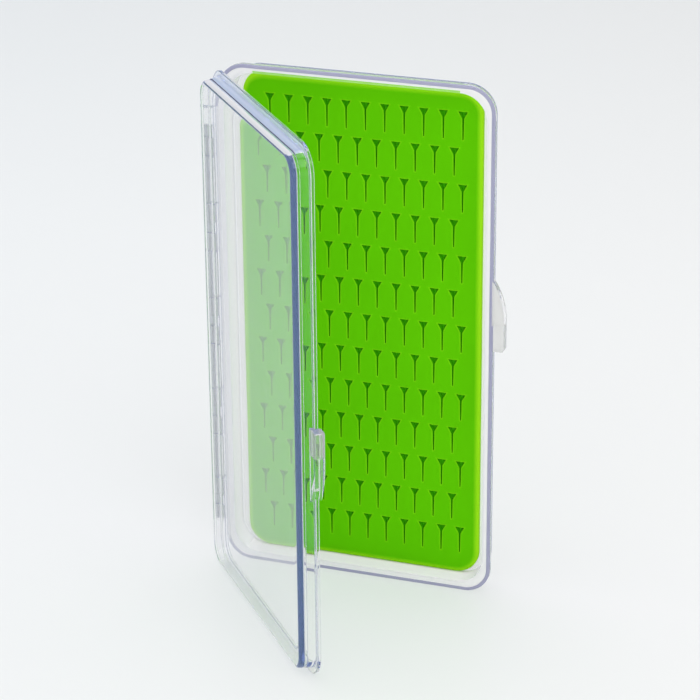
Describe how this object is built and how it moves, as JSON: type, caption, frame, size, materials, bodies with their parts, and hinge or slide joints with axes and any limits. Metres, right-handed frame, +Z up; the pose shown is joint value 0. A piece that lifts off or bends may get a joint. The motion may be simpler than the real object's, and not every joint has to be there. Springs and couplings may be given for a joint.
{
  "type": "fly box",
  "caption": "Slim clear pocket box for fishing flies, with a pinned side hinge, thumb tabs and a slit silicone pad.",
  "frame": {"origin": "middle of the base rim's lower end face, which the box stands on", "axes": "+Z up along the long side and the hinge pin, +X from the hinge to the thumb tabs, +Y from the base's open side to its back"},
  "size_m": [0.1059, 0.0929, 0.187],
  "materials": {
    "clear_shell": "polished clear moulded plastic",
    "pin_steel": "drawn steel wire",
    "pad_silicone": "soft bright green silicone",
    "adhesive_sheet": "milky double-sided sheet"
  },
  "bodies": {
    "base": {"base_shell": "clear_shell", "hinge_pin": "pin_steel", "slit_pad": "pad_silicone", "pad_adhesive": "adhesive_sheet"},
    "lid": {"lid_shell": "clear_shell"}
  },
  "joints": [
    {"name": "lid_hinge", "type": "hinge", "parent": "base", "child": "lid", "pos_m": [-0.05107, -0.002, 0.0935], "axis": [0, 0, -1], "range_deg": [-50, 180]}
  ]
}
